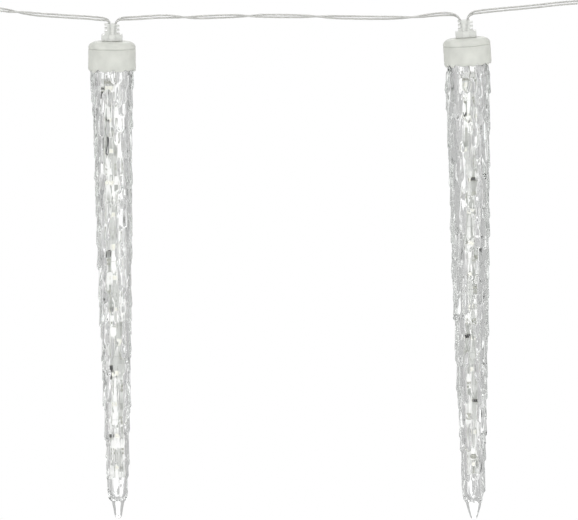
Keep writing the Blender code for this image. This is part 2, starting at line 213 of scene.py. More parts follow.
class Look:
    """A material under construction: its Principled shader and short ways to wire nodes to it."""

    def __init__(self, name, colour, roughness, **sockets):
        self.material = bpy.data.materials.new(name)
        self.material.use_nodes = True
        self.tree = self.material.node_tree
        self.nodes = self.tree.nodes
        self.links = self.tree.links
        self.shader = self.nodes["Principled BSDF"]
        self.shader.inputs["Base Color"].default_value = (*colour, 1)
        self.shader.inputs["Roughness"].default_value = roughness
        for socket, value in sockets.items():
            self.shader.inputs[socket.replace("_", " ")].default_value = value

    def noise(self, scale, detail=3.0, stretch=(1, 1, 1)):
        """The factor of a noise texture in the object's own coordinates."""
        place = self.nodes.new("ShaderNodeTexCoord")
        mapping = self.nodes.new("ShaderNodeMapping")
        mapping.inputs["Scale"].default_value = stretch
        noise = self.nodes.new("ShaderNodeTexNoise")
        noise.inputs["Scale"].default_value = scale
        noise.inputs["Detail"].default_value = detail
        self.links.new(place.outputs["Object"], mapping.inputs["Vector"])
        self.links.new(mapping.outputs["Vector"], noise.inputs["Vector"])
        return noise.outputs["Fac"]

    def mottle(self, factor, dark, light, spread=NOISE_SPREAD):
        """The base colour runs from dark to light over the factor's spread."""
        mix = self.nodes.new("ShaderNodeMix")
        mix.data_type = "RGBA"
        self.links.new(map_range(self.tree, factor, spread, (0, 1)), mix.inputs["Factor"])
        mix.inputs["A"].default_value = (*dark, 1)
        mix.inputs["B"].default_value = (*light, 1)
        self.links.new(mix.outputs["Result"], self.shader.inputs["Base Color"])

    def roughen(self, factor, low, high):
        """The roughness runs from low to high over the factor's spread."""
        roughness = map_range(self.tree, factor, NOISE_SPREAD, (low, high))
        self.links.new(roughness, self.shader.inputs["Roughness"])

    def bump(self, factor, distance, strength):
        node = self.nodes.new("ShaderNodeBump")
        node.inputs["Strength"].default_value = strength
        node.inputs["Distance"].default_value = distance
        self.links.new(factor, node.inputs["Height"])
        self.links.new(node.outputs["Normal"], self.shader.inputs["Normal"])

    def absorb(self, colour, density):
        """What is seen through the body takes on its colour."""
        node = self.nodes.new("ShaderNodeVolumeAbsorption")
        node.inputs["Color"].default_value = (*colour, 1)
        node.inputs["Density"].default_value = density
        output = self.nodes["Material Output"]
        self.links.new(node.outputs["Volume"], output.inputs["Volume"])


def make_looks():
    looks = {}

    clear = Look("clear_plastic", (1.0, 1.0, 1.0), 0.02, Transmission_Weight=1.0, IOR=1.49)
    clear.bump(clear.noise(240, 1, (1, 1, 0.12)), 0.00004, 0.15)
    clear.absorb((0.80, 0.88, 0.80), 12.0)
    looks["clear"] = clear

    frosted = Look("frosted_plastic", (0.60, 0.61, 0.575), 0.5, Transmission_Weight=0.4, IOR=1.46)
    frosted.mottle(frosted.noise(150, 3), (0.58, 0.59, 0.55), (0.67, 0.68, 0.635))
    frosted.roughen(frosted.noise(900, 2), 0.42, 0.6)
    frosted.bump(frosted.noise(2600, 3), 0.00002, 0.4)
    looks["frosted"] = frosted

    boot = Look("boot_plastic", (0.72, 0.73, 0.70), 0.35, Transmission_Weight=0.6, IOR=1.46)
    boot.roughen(boot.noise(700, 3), 0.28, 0.45)
    boot.bump(boot.noise(900, 3), 0.00004, 0.5)
    looks["boot"] = boot

    jacket = Look("lead_jacket", (0.97, 0.97, 0.96), 0.08, Transmission_Weight=1.0, IOR=1.5)
    jacket.bump(jacket.noise(500, 2), 0.00003, 0.3)
    jacket.absorb((0.66, 0.68, 0.65), 160.0)
    looks["jacket"] = jacket

    core = Look("tinned_wire", (0.42, 0.42, 0.40), 0.35, Metallic=0.8)
    core.mottle(core.noise(1800, 2), (0.52, 0.52, 0.50), (0.68, 0.68, 0.66))
    core.bump(core.noise(3500, 2), 0.00006, 0.6)
    looks["core"] = core

    strip = Look("strip_white", (0.95, 0.95, 0.94), 0.38, Coat_Weight=0.2)
    # The strip's white runs into long grey streaks down its length: painted shade, standing in for
    # the grey that the drips in front lay over it.
    drip_shade_streaks = strip.noise(300, 1, (1, 1, 0.15))
    strip.mottle(drip_shade_streaks, (0.58, 0.59, 0.57), (0.97, 0.97, 0.96), (0.42, 0.53))
    strip.bump(strip.noise(1500, 3), 0.00002, 0.4)
    looks["strip"] = strip

    body = Look("led_body", (0.92, 0.92, 0.88), 0.3)
    body.mottle(body.noise(900, 2), (0.86, 0.86, 0.82), (0.94, 0.94, 0.91))
    looks["led_body"] = body

    phosphor = Look("led_phosphor", (0.90, 0.89, 0.80), 0.25, Coat_Weight=0.6)
    phosphor.mottle(phosphor.noise(2200, 2), (0.85, 0.84, 0.75), (0.93, 0.92, 0.84))
    looks["phosphor"] = phosphor

    solder = Look("solder", (0.42, 0.43, 0.38), 0.28, Metallic=0.85)
    solder.mottle(solder.noise(1400, 3), (0.27, 0.28, 0.23), (0.58, 0.58, 0.54))
    solder.bump(solder.noise(1600, 2), 0.00005, 0.6)
    looks["solder"] = solder

    # Near-black for the blocks of painted shade at the strip's edge.
    shade_block = Look("painted_shade_black", (0.022, 0.022, 0.024), 0.45)
    shade_block.mottle(shade_block.noise(2600, 3), (0.014, 0.014, 0.016), (0.034, 0.034, 0.034))
    looks["shade_block"] = shade_block

    # The traces are the strip's own faint tint, drawn much darker here: partly real, partly
    # painted shade standing in for the grey that the drips in front lay over the strip.
    trace_and_shade = Look("trace_and_shade", (0.40, 0.41, 0.39), 0.4)
    trace_and_shade.mottle(trace_and_shade.noise(300, 2), (0.33, 0.34, 0.32), (0.48, 0.49, 0.47))
    looks["trace_and_shade"] = trace_and_shade

    floor = Look("floor", (0.80, 0.80, 0.80), 0.8)
    floor.mottle(floor.noise(6, 4), (0.79, 0.79, 0.79), (0.81, 0.81, 0.81))
    looks["floor"] = floor
    return {name: look.material for name, look in looks.items()}


# ---- making pieces -------------------------------------------------------------------------

SHARP_ANGLE = math.radians(40)


def add_piece(data, looks, matrix=None, replaces=()):
    """An object of the string, named after its data, that rides on the string's one body."""
    obj = bpy.data.objects.new(data.name, data)
    bpy.context.scene.collection.objects.link(obj)
    for look in looks:
        data.materials.append(LOOKS[look])
    if matrix:
        obj.matrix_world = matrix
    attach(obj, "root")
    if replaces:
        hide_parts(*replaces)
    return obj


def frame_matrix(side, part):
    """The frame of an icicle's head or tube: +Z leans towards -X, so what hangs leans to +X."""
    icicle = ICICLES[side]
    place = Matrix.Translation((icicle[f"{part}_x"], 0, icicle["z"]))
    return place @ Matrix.Rotation(-math.radians(icicle[f"{part}_lean"]), 4, "Y")


def smooth_route(points, step, measured=3):
    """A Catmull-Rom curve through points, cut evenly by length over the first coordinates."""
    points = np.array(points, float)
    padded = np.vstack([2 * points[0] - points[1], points, 2 * points[-1] - points[-2]])
    share = np.linspace(0, 1, 24, endpoint=False)[:, None]
    fine = [
        0.5 * (2 * b + (c - a) * share + (2 * a - 5 * b + 4 * c - d) * share**2
               + (3 * b - a - 3 * c + d) * share**3)
        for a, b, c, d in zip(padded, padded[1:], padded[2:], padded[3:])
    ]
    fine = np.vstack([*fine, points[-1:]])
    along = np.r_[0, np.cumsum(np.linalg.norm(np.diff(fine[:, :measured], axis=0), axis=1))]
    wanted = np.linspace(0, along[-1], math.ceil(along[-1] / step) + 1)
    return np.stack([np.interp(wanted, along, column) for column in fine.T], axis=1)


def wire_curve(name, points, radius):
    curve = bpy.data.curves.new(name, "CURVE")
    curve.dimensions = "3D"
    curve.bevel_depth = radius
    curve.bevel_resolution = 3
    curve.use_fill_caps = True
    spline = curve.splines.new("POLY")
    spline.points.add(len(points) - 1)
    for target, point in zip(spline.points, points):
        target.co = (*point, 1)
    return curve


def finish_mesh(name, bm):
    """A smooth-shaded mesh of what was under construction, sharp where its faces fold."""
    bmesh.ops.recalc_face_normals(bm, faces=bm.faces)
    mesh = bpy.data.meshes.new(name)
    bm.to_mesh(mesh)
    bm.free()
    mesh.shade_smooth()
    mesh.set_sharp_from_angle(angle=SHARP_ANGLE)
    return mesh


def add_box(bm, size, centre, bevel=0.0, look=0, matrix=None):
    """A bevelled box, added to a mesh under construction."""
    place = Matrix.Translation(centre) @ Matrix.Diagonal((*size, 1))
    made = bmesh.ops.create_cube(bm, size=1)["verts"]
    bmesh.ops.transform(bm, matrix=place, verts=made)
    faces = list({face for vert in made for face in vert.link_faces})
    if bevel:
        edges = list({edge for face in faces for edge in face.edges})
        bevelled = bmesh.ops.bevel(
            bm, geom=edges, offset=bevel, segments=2, profile=0.5, affect="EDGES",
            clamp_overlap=True)
        faces = list({face for vert in bevelled["verts"] for face in vert.link_faces})
    for face in faces:
        face.material_index = look
    if matrix:
        verts = list({vert for face in faces for vert in face.verts})
        bmesh.ops.transform(bm, matrix=matrix, verts=verts)


def add_ball(bm, centre, size, look):
    """A rounded blob, added to a mesh under construction."""
    matrix = Matrix.Translation(centre) @ Matrix.Diagonal((*size, 1))
    made = bmesh.ops.create_uvsphere(
        bm, u_segments=14, v_segments=9, radius=0.5, matrix=matrix)["verts"]
    for face in {face for vert in made for face in vert.link_faces}:
        face.material_index = look


def ring_mesh(name, rings, closed_by=None):
    """A skin over rings of points. closed_by gives the two poles, or the skin closes on itself."""
    rings = np.array(rings, float)
    count, around = rings.shape[:2]
    index = np.arange(count * around).reshape(count, around)
    if closed_by is None:
        index = np.vstack([index, index[:1]])
    after = np.roll(index, -1, axis=1)
    quads = np.stack([index[:-1], after[:-1], after[1:], index[1:]], axis=-1)
    faces = quads.reshape(-1, 4).tolist()
    points = rings.reshape(-1, 3).tolist()
    if closed_by is not None:
        for ring, pole in zip((0, -1), closed_by):
            edge = zip(index[ring].tolist(), after[ring].tolist())
            faces += [(a, b, len(points)) for a, b in edge]
            points.append(pole)
    mesh = bpy.data.meshes.new(name)
    mesh.from_pydata(points, [], faces)
    bm = bmesh.new()
    bm.from_mesh(mesh)
    bmesh.ops.recalc_face_normals(bm, faces=bm.faces)
    bm.to_mesh(mesh)
    bm.free()
    mesh.shade_smooth()
    return mesh


def angles_round(count):
    return 2 * math.pi * np.arange(count) / count


# ---- the lead ------------------------------------------------------------------------------

CORE_RADIUS = 0.00034
LEAD_STEP = 0.0014
KNOT_TURNS = 5
# Where each stretch starts and ends inside a boot: (x, z) from the foot up to the boot's top
BOOT_ENTRIES = {
    "left": {"start": [(0.0878, -0.0170), (0.0877, -0.0120)]},
    "middle": {
        "start": [(0.0906, -0.0170), (0.0909, -0.0120)],
        "end": [(0.3068, -0.0100), (0.3076, -0.0148)],
    },
    "right": {"start": [(0.3100, -0.0148), (0.3105, -0.0100)]},
}


def lead_points(run, side):
    """One wire of a stretch of the lead, from inside its boot outwards."""
    twisted = [(x, z, math.radians(twist)) for x, z, twist in LEAD_ROUTES[run]]
    entry = BOOT_ENTRIES[run]
    start = [(x, z, twisted[0][2]) for x, z in entry["start"]]
    end = [(x, z, twisted[-1][2]) for x, z in entry.get("end", [])]
    middle = smooth_route(start + twisted + end, LEAD_STEP, measured=2)
    offset = side * PAIR_OFFSET
    x, z, twist = middle.T
    return np.stack([x, offset * np.cos(twist), z + offset * np.sin(twist)], axis=1)


def loop_points(face_x, z, outward):
    """A narrow drop-shaped loop, from the knot's far face outwards and back."""
    start = face_x + outward * (KNOT_LENGTH + GAP)
    angle = np.linspace(0, 2 * math.pi, 65)
    along = LOOP_LENGTH * (1 - np.cos(angle)) / 2
    across = LOOP_HALF_WIDTH * np.sin(angle) * np.sin(angle / 2) ** LOOP_TAPER
    across += LOOP_FOOT_OFFSET * np.cos(angle / 2)
    return np.stack([start + outward * along, 0 * along, z + across], axis=1)


def knot_points(face_x, z, outward):
    """A wire wrapped round the pair, each turn beside the last."""
    radius = KNOT_RADIUS - WIRE_RADIUS
    angle = np.linspace(0, 2 * math.pi * KNOT_TURNS, 24 * KNOT_TURNS)
    along = WIRE_RADIUS + (KNOT_LENGTH - 2 * WIRE_RADIUS) * angle / angle[-1]
    x = face_x + outward * along
    return np.stack([x, radius * np.cos(angle), z + radius * np.sin(angle)], axis=1)


def add_wire(name, points):
    """A wire in place of the CAD node of that name: its clear jacket and the core inside."""
    jacket = wire_curve(f"{name}_jacket", points, WIRE_RADIUS)
    jacket = add_piece(jacket, ["jacket"], replaces=[name])
    core = wire_curve(f"{name}_core", points, CORE_RADIUS)
    core = add_piece(core, ["core"])
    return jacket, core


def make_ends():
    """The tied ends, by side: the wrapped knot and the loop that a hook holds."""
    ends = {}
    for side, place in ENDS.items():
        knot = add_wire(f"knot_{side}", knot_points(*place))
        ends[side] = [*knot, *add_wire(f"end_loop_{side}", loop_points(*place))]
    return ends


def make_lead():
    """The six cords. Wire a of the left and right stretches carries the tied end."""
    ends = make_ends()
    for run in LEAD_ROUTES:
        for letter, side in (("a", 1), ("b", -1)):
            points = lead_points(run, side)
            jacket, core = add_wire(f"lead_{run}_{letter}", points)


# ---- the tubes -----------------------------------------------------------------------------

AROUND = 224
ROWS = 370
TIP_ROWS = 24
BORE_ROWS = 30
BORE_END_ROWS = 8
BORE_END_TURN = 84  # degrees of the bore's round end, before its pole closes it
OVAL_TOP = 0.0300  # depth from which the tube is fully oval
COLLAR_CLEARANCE = 0.0002
COLLAR_MARGIN = 0.0004  # how far below its rim the collar still limits the tube

DRIP_START = 0.0090
DRIP_END = 0.2882
TIP_TOP = DRIP_END + 0.0004
DRIP_FADE = (0.0130, 0.0165)  # depths between which they reach their full height
DRIP_COURSE = 0.0090
LAST_COURSE = DRIP_END - 0.0020
COURSE_JITTER = 0.8  # either way, as a share of the course
DRIP_PITCH = 0.0036
PITCH_JITTER = 0.3  # either way, as a share of the pitch
DRIP_DRIFT = 0.08  # radians, either way, that a drip moves round the tube as it runs down
DRIP_LENGTH = (0.016, 0.030)
DRIP_HALF_WIDTH = (0.0014, 0.0024)
DRIP_HEIGHT = (0.0008, 0.0020)
DRIP_INSET = 0.0004  # of the bare tube under the outline, which the drips make up for
DRIP_TAPER = 0.45  # how narrow a drip's top is, as a share of its full width
DRIP_WIDENED = 0.75  # share of its length at which it reaches that width
DRIP_ROUND_END = 1.2  # length of its round end, in half widths
DRIP_FLATNESS = 2.6  # exponent that flattens the top of its section
DRIP_STEEPNESS = 0.6  # exponent that steepens the sides of its section
DRIP_TOP_HEIGHT = 0.1  # of its top end, as a share of its full height
DRIP_SWELL = 1.3  # exponent of its growth from there
LUMP_SHARE = 0.06  # how lumpy it is, as a share of its height
LUMP_LENGTH = 0.0021  # along it, for one radian of the lumps' wave
LOW_FADE = (0.258, 0.280)  # depths between which the drips run out into the bare tip
LOW_LOSS = 0.3  # share of their height that they lose there


def outline_radius(depth):
    """The mean radius at a depth, without inset and drips."""
    neck = NECK_RADIUS / (1 + OVAL_SHARE)
    known = [(NECK_TOP, neck), (NECK_BOTTOM, neck), *TUBE_OUTLINE]
    known += [(at, (narrow + wide) / 2) for at, narrow, wide in TIP_OUTLINE]
    return np.interp(depth, *np.array(known).T)


def oval_factor(depth, angle, turn):
    """How far the section stands out of a circle, by depth (rows) and angle (columns)."""
    known = [(NECK_BOTTOM, 0), (OVAL_TOP, OVAL_SHARE), (TUBE_OUTLINE[-1][0], OVAL_SHARE)]
    known += [(at, (wide - narrow) / (wide + narrow)) for at, narrow, wide in TIP_OUTLINE]
    share = np.interp(depth, *np.array(known).T)
    return 1 + share[:, None] * np.cos(2 * angle - 2 * math.radians(turn))[None, :]


def smooth_share(value, low, high):
    share = np.clip((value - low) / (high - low), 0, 1)
    return share * share * (3 - 2 * share)


def add_drip(height, depth, angle, drip):
    """Lays one drip over the height field: it widens downwards to a blunt, round end."""
    rows = np.flatnonzero((depth > drip["end"] - drip["length"]) & (depth < drip["end"]))
    at = depth[rows][:, None]
    down = (at - drip["end"] + drip["length"]) / drip["length"]
    widened = smooth_share(down, 0, DRIP_WIDENED)
    half = drip["half"] * (DRIP_TAPER + (1 - DRIP_TAPER) * widened)
    from_end = np.clip((drip["end"] - at) / (DRIP_ROUND_END * drip["half"]), 0, 1)
    half = half * np.sqrt(1 - (1 - from_end) ** 2)
    centre = drip["angle"] + drip["drift"] * (down - 1)
    apart = (angle[None, :] - centre + math.pi) % (2 * math.pi) - math.pi
    across = np.abs(apart * outline_radius(at) / np.maximum(half, 1e-6))
    section = np.clip(1 - across**DRIP_FLATNESS, 0, None) ** DRIP_STEEPNESS
    lumps = 1 + LUMP_SHARE * np.sin(drip["lumps"] + down * drip["length"] / LUMP_LENGTH)
    rise = DRIP_TOP_HEIGHT + (1 - DRIP_TOP_HEIGHT) * down**DRIP_SWELL
    height[rows] = drip["height"] * rise * section * lumps + height[rows] * (1 - section)


def drip_field(depth, angle, seed):
    """How far the drips stand out. Each course lies over the one below it, like shingles."""
    chance = random.Random(seed)
    height = np.zeros((len(depth), len(angle)))
    for end in np.arange(LAST_COURSE, DRIP_START, -DRIP_COURSE):
        count = round(2 * math.pi * float(outline_radius(end)) / DRIP_PITCH)
        phase = chance.random()
        for number in range(count):
            lower = DRIP_COURSE * chance.uniform(-COURSE_JITTER, COURSE_JITTER)
            aside = chance.uniform(-PITCH_JITTER, PITCH_JITTER)
            add_drip(height, depth, angle, {
                "end": min(DRIP_END, end + lower),
                "angle": 2 * math.pi * (number + phase + aside) / count,
                "length": chance.uniform(*DRIP_LENGTH),
                "half": chance.uniform(*DRIP_HALF_WIDTH),
                "height": chance.uniform(*DRIP_HEIGHT),
                "drift": chance.uniform(-DRIP_DRIFT, DRIP_DRIFT),
                "lumps": chance.uniform(0, 2 * math.pi),
            })
    return height


def soften(height):
    """One light blur, round the tube and along it."""
    height = (np.roll(height, 1, axis=1) + 2 * height + np.roll(height, -1, axis=1)) / 4
    padded = np.vstack([height[:1], height, height[-1:]])
    return (padded[:-2] + 2 * height + padded[2:]) / 4


def ring_points(radius, depth, angle):
    """Points at radius (rows by columns) and depth (rows)."""
    radius = np.broadcast_to(radius, (len(depth), len(angle)))
    z = np.broadcast_to(-np.asarray(depth)[:, None], radius.shape)
    return np.stack([radius * np.cos(angle), radius * np.sin(angle), z], axis=-1)


def drip_side(icicle, angle):
    """The depths and radii of the drip-covered side."""
    depth = np.linspace(NECK_TOP, TIP_TOP, ROWS)
    height = soften(drip_field(depth, angle, icicle["seed"]))
    low = smooth_share(depth, *LOW_FADE)
    inset = DRIP_INSET * smooth_share(depth, *DRIP_FADE) * (1 - low)
    rise = smooth_share(depth, *DRIP_FADE) * (1 - LOW_LOSS * low)
    bare = (outline_radius(depth) - inset)[:, None] * oval_factor(depth, angle, icicle["turn"])
    radius = bare + height * rise[:, None]
    in_collar = depth < icicle["rim"] + COLLAR_MARGIN
    radius[in_collar] = np.minimum(radius[in_collar], COLLAR_BORE - COLLAR_CLEARANCE)
    return depth, radius


def tip_side(icicle, angle):
    """The depths and radii of the bare tip, a rounded square in section with a round end."""
    depth = np.linspace(TIP_TOP, TIP_END, TIP_ROWS + 2)[1:-1]
    shoulder, round_end = TIP_OUTLINE[0][0], TIP_OUTLINE[-1][0]
    radius = outline_radius(np.minimum(depth, round_end))
    radius *= np.sqrt(np.clip((TIP_END - depth) / (TIP_END - round_end), 0, 1))
    square_share = smooth_share(depth, shoulder, TIP_OUTLINE[1][0])[:, None]
    power = 2 + (TIP_SQUARENESS - 2) * square_share
    square = (np.abs(np.cos(angle)) ** power + np.abs(np.sin(angle)) ** power) ** (1 / power)
    return depth, radius[:, None] * oval_factor(depth, angle, icicle["turn"]) / square


def bore_side():
    """The depths and radii of the hollow, down to its round end."""
    end_depth, end_radius = BORE_OUTLINE[-1]
    depth = np.linspace(NECK_TOP, end_depth, BORE_ROWS)
    radius = np.interp(depth, *np.array(BORE_OUTLINE).T)
    turn = np.radians(np.linspace(0, BORE_END_TURN, BORE_END_ROWS + 1)[1:])
    end = end_depth + (BORE_BOTTOM - end_depth) * np.sin(turn)
    return np.r_[depth, end], np.r_[radius, end_radius * np.cos(turn)]


def make_tube(side):
    """One skin from the tip up the outside, over the neck's top and down the hollow."""
    icicle = ICICLES[side]
    angle = angles_round(AROUND)
    depth, radius = drip_side(icicle, angle)
    tip_depth, tip_radius = tip_side(icicle, angle)
    bore_depth, bore_radius = bore_side()
    rings = np.vstack([
        ring_points(tip_radius[::-1], tip_depth[::-1], angle),
        ring_points(radius[::-1], depth[::-1], angle),
        ring_points(bore_radius[:, None], bore_depth, angle),
    ])
    poles = ((0, 0, -TIP_END), (0, 0, -BORE_BOTTOM))
    mesh = ring_mesh(f"{side}_clear_tube", rings, poles)
    matrix = frame_matrix(side, "tube") @ Matrix.Translation((0, 0, -icicle["drop"]))
    add_piece(mesh, ["clear"], matrix, [f"{side}_tube"])


# ---- the cap -------------------------------------------------------------------------------

CAP_AROUND = 160
FLAT_RING = 0.0040  # radius of the ring next to the pole of a flat face
LID_EDGE = 0.00025
SEAM_DEPTH = 0.0003
SEAM_HEIGHT = 0.9 * GAP
COLLAR_EDGE = 0.0003
RIM_DRIPS = 24
RIM_JITTER = 0.4  # either way, as a share of their pitch
RIM_HALF_WIDTH = (0.0009, 0.0028)
RIM_HANG = (0.0003, 0.0018)
RIM_FULL_HANG = 0.003  # for which the collar swells by all of RIM_SWELL
RIM_SWELL = 0.0003
RIM_TUCK = 0.0002  # how far the rim is rounded in where no drip hangs
# (radius, height above the rim's edge), from the rim into the bore
RIM_PROFILE = (
    (CAP_RADIUS - 0.0005, 0.0), (COLLAR_BORE + 0.0001, 0.0002), (COLLAR_BORE, 0.0006),
)

COLUMN_WIDTH = 0.0043
COLUMN_PROUD = 0.0004
COLUMN_RISE = 0.0002
BOOT_EDGE = 0.0004
FINE_EDGE = 0.0003
CUT_EDGE = 0.00018


def arc(centre, radii, start, end, steps):
    """Points on an ellipse in a profile's plane, with angles in degrees from +X."""
    angles = np.radians(np.linspace(start, end, steps + 1))
    (x, y), (width, height) = centre, radii
    return [(x + width * math.cos(a), y + height * math.sin(a)) for a in angles]


def turned_rings(profile, angle):
    """A ring for each (radius, z) of a profile. Either may be one number or one per angle."""
    return [
        np.stack([r * np.cos(angle), r * np.sin(angle), np.broadcast_to(z, angle.shape)], axis=-1)
        for r, z in profile
    ]


def make_lid(side):
    """The cap's lid: a rounded shoulder, a seam groove over the collar, and a spigot into it."""
    bottom = -LID_HEIGHT - SPIGOT_HEIGHT
    seam = CAP_RADIUS - SEAM_DEPTH
    profile = [(FLAT_RING, 0.0), (2 * FLAT_RING, 0.0)]
    profile += arc((CAP_RADIUS - SHOULDER[0], -SHOULDER[1]), SHOULDER, 90, 0, 16)
    profile += arc((CAP_RADIUS - LID_EDGE, LID_EDGE - LID_HEIGHT), (LID_EDGE, LID_EDGE), 0, -90, 3)
    profile += [
        (seam, -LID_HEIGHT), (seam, -LID_HEIGHT - SEAM_HEIGHT),
        (SPIGOT_RADIUS, -LID_HEIGHT - SEAM_HEIGHT), (SPIGOT_RADIUS, bottom), (FLAT_RING, bottom),
    ]
    rings = turned_rings(profile, angles_round(CAP_AROUND))
    mesh = ring_mesh(f"{side}_lid", rings, ((0, 0, 0), (0, 0, bottom)))
    mesh.set_sharp_from_angle(angle=math.radians(50))
    matrix = frame_matrix(side, "head")
    add_piece(mesh, ["frosted"], matrix, [f"{side}_cap_lid"])


def rim_lobes(angle, seed):
    """How far the collar's lower rim hangs down in small drips, round the collar."""
    chance = random.Random(seed)
    hang = np.zeros_like(angle)
    for number in range(RIM_DRIPS):
        centre = number + chance.uniform(-RIM_JITTER, RIM_JITTER)
        centre = 2 * math.pi * centre / RIM_DRIPS
        half = chance.uniform(*RIM_HALF_WIDTH)
        apart = ((angle - centre + math.pi) % (2 * math.pi) - math.pi) * CAP_RADIUS / half
        lobe = np.clip(1 - apart**2, 0, None) ** 0.5
        hang = np.maximum(hang, chance.uniform(*RIM_HANG) * lobe)
    return hang


def make_collar(side):
    """The ring under the lid, whose lower rim runs out in small drips over the tube."""
    angle = angles_round(CAP_AROUND)
    hang = rim_lobes(angle, ICICLES[side]["seed"] + 1)
    full = hang / RIM_FULL_HANG
    rim = -ICICLES[side]["rim"] - hang
    top = -LID_HEIGHT - GAP
    edge = top - COLLAR_EDGE
    profile = arc((CAP_RADIUS - COLLAR_EDGE, edge), (COLLAR_EDGE, COLLAR_EDGE), 90, 0, 3)
    for share in np.linspace(0.1, 0.92, 10):
        swell = RIM_SWELL * smooth_share(share, 0.45, 0.9) * full
        profile.append((CAP_RADIUS + swell, edge + (rim - edge) * share))
    profile.append((CAP_RADIUS - RIM_TUCK * (1 - full), rim + 0.0001))
    profile += [(radius, rim + rise) for radius, rise in RIM_PROFILE]
    profile.append((COLLAR_BORE, top))
    mesh = ring_mesh(f"{side}_collar", turned_rings(profile, angle))
    mesh.set_sharp_from_angle(angle=math.radians(60))
    matrix = frame_matrix(side, "head")
    add_piece(mesh, ["frosted"], matrix, [f"{side}_cap_collar"])


def boolean(obj, other, operation):
    modifier = obj.modifiers.new(other.name, "BOOLEAN")
    modifier.operation = operation
    modifier.solver = "EXACT"
    modifier.object = other


def box_object(name, size, centre, bevel):
    bm = bmesh.new()
    add_box(bm, size, centre, bevel)
    obj = bpy.data.objects.new(name, finish_mesh(name, bm))
    bpy.context.scene.collection.objects.link(obj)
    return obj


def make_strain_relief(side):
    """A foot and a boot in one clear moulding, with a raised column in front and slots aside."""
    height = FOOT[2] + BOOT[2] - BOOT_OVERLAP
    column = (COLUMN_WIDTH, FOOT[1] + 2 * COLUMN_PROUD, FOOT[2] + COLUMN_RISE)
    slot = (2 * SLOT_DEPTH, 2 * BOOT[1], SLOT_HEIGHT)
    base = box_object("foot", FOOT, (0, 0, GAP + FOOT[2] / 2), BOOT_EDGE)
    parts = [
        (box_object("boot", BOOT, (0, 0, GAP + height - BOOT[2] / 2), BOOT_EDGE), "UNION"),
        (box_object("column", column, (0, 0, GAP + column[2] / 2), FINE_EDGE), "UNION"),
    ]
    for direction, heights in ((-1, SLOTS_LEFT), (1, SLOTS_RIGHT)):
        for level in heights:
            centre = (direction * BOOT[0] / 2, 0, level)
            parts.append((box_object("slot", slot, centre, FINE_EDGE), "DIFFERENCE"))
    for other, operation in parts:
        boolean(base, other, operation)
    bevel = base.modifiers.new("edges", "BEVEL")
    bevel.width = CUT_EDGE
    bevel.segments = 2
    bevel.limit_method = "ANGLE"
    bpy.context.view_layer.update()
    moulding = base.evaluated_get(bpy.context.evaluated_depsgraph_get())
    mesh = bpy.data.meshes.new_from_object(moulding)
    for obj in (base, *(other for other, _ in parts)):
        bpy.data.objects.remove(obj)
    mesh.name = f"{side}_boot"
    mesh.shade_smooth()
    mesh.set_sharp_from_angle(angle=SHARP_ANGLE)
    matrix = frame_matrix(side, "head")
    add_piece(mesh, ["boot"], matrix, [f"{side}_strain_relief"])


# ---- the LED strip -------------------------------------------------------------------------

STRIP_ROWS = 90
STRIP_EDGE = 0.0001
SLOPE_REACH = 0.0014  # above and below a point, for the strip's slope there

LED_BODY_SHARE = 0.86  # of an LED's width, the rest being its legs
LED_WINDOW_MARGIN = 0.00035
LED_WINDOW_RIM = 0.0002
LED_LEG = (0.0005, 0.0004, 0.7 * LED_SIZE[2])
LED_LEG_EDGE = 0.00008

TRACE_AND_SHADE, SOLDER, SHADE_BLOCK = 0, 1, 2  # the circuit's material slots
TRACES_WITH_PAINTED_SHADE = ((-0.0023, 0.0013), (0.0004, 0.0007), (0.0026, 0.0012))  # (x, width) of the traces, drawn much darker than their own faint tint: partly painted shade of the drips in front
TRACE_MARGIN = 0.004  # from the strip's ends to the middle of the first and last stretch
TRACE_LENGTH = 0.0039
TRACE_SHARE = 0.8  # chance that a stretch of trace goes on
TRACE_BREAK = (0.004, 0.012)
CUT_LINE = (STRIP_WIDTH * 0.96, 0.00005, 0.00022)
PAD = (0.0014, 0.0001, 0.0015)
PAD_X = 0.0029
PAD_Z = 0.0012
WIRE_SOLDER = (0.0019, 0.0012, 0.0022)
TOP_SOLDER_Z = -0.0266
TOP_SOLDER = (0.0046, 0.0003, 0.0013)
END_SOLDER_Z = -0.2628
END_SOLDER = (0.0047, 0.0016, 0.0030)
END_LINE = (0.0004, 0.0004, 0.0085)
END_LINES_X = (-0.0007, 0.0009)
END_LINES_Z = -0.0064  # from the solder
# Black blocks of painted shade beside the LEDs, at the strip's left edge, put where its edge and
# the drips show dark: (LED number, x, z from it, width, height)
SHADE_BLOCKS = {
    "left": [(0, -0.0035, -0.0004, 0.0010, 0.0014), (0, -0.0037, -0.0045, 0.0015, 0.0052),
             (1, -0.0038, 0.0063, 0.0005, 0.0075), (1, -0.0029, 0.0092, 0.0022, 0.0007),
             (1, -0.0030, 0.0, 0.0018, 0.0024), (1, -0.0006, -0.0063, 0.0009, 0.0028),
             (2, -0.0037, 0.0040, 0.0014, 0.0112), (3, -0.0037, -0.0004, 0.0020, 0.0064),
             (5, -0.0037, -0.0045, 0.0012, 0.0056), (5, -0.0011, -0.0028, 0.0010, 0.0028),
             (7, -0.0036, 0.0004, 0.0010, 0.0026), (9, -0.0037, 0.0002, 0.0013, 0.0090),
             (11, -0.0034, 0.0002, 0.0012, 0.0026)],
    "right": [(1, -0.0031, 0.0010, 0.0012, 0.0030), (3, 0.0028, 0.0, 0.0013, 0.0026),
              (6, -0.0028, -0.0006, 0.0014, 0.0028), (8, -0.0026, 0.0006, 0.0015, 0.0030),
              (10, 0.0024, 0.0, 0.0013, 0.0024), (11, -0.0024, 0.0004, 0.0014, 0.0026)],
}


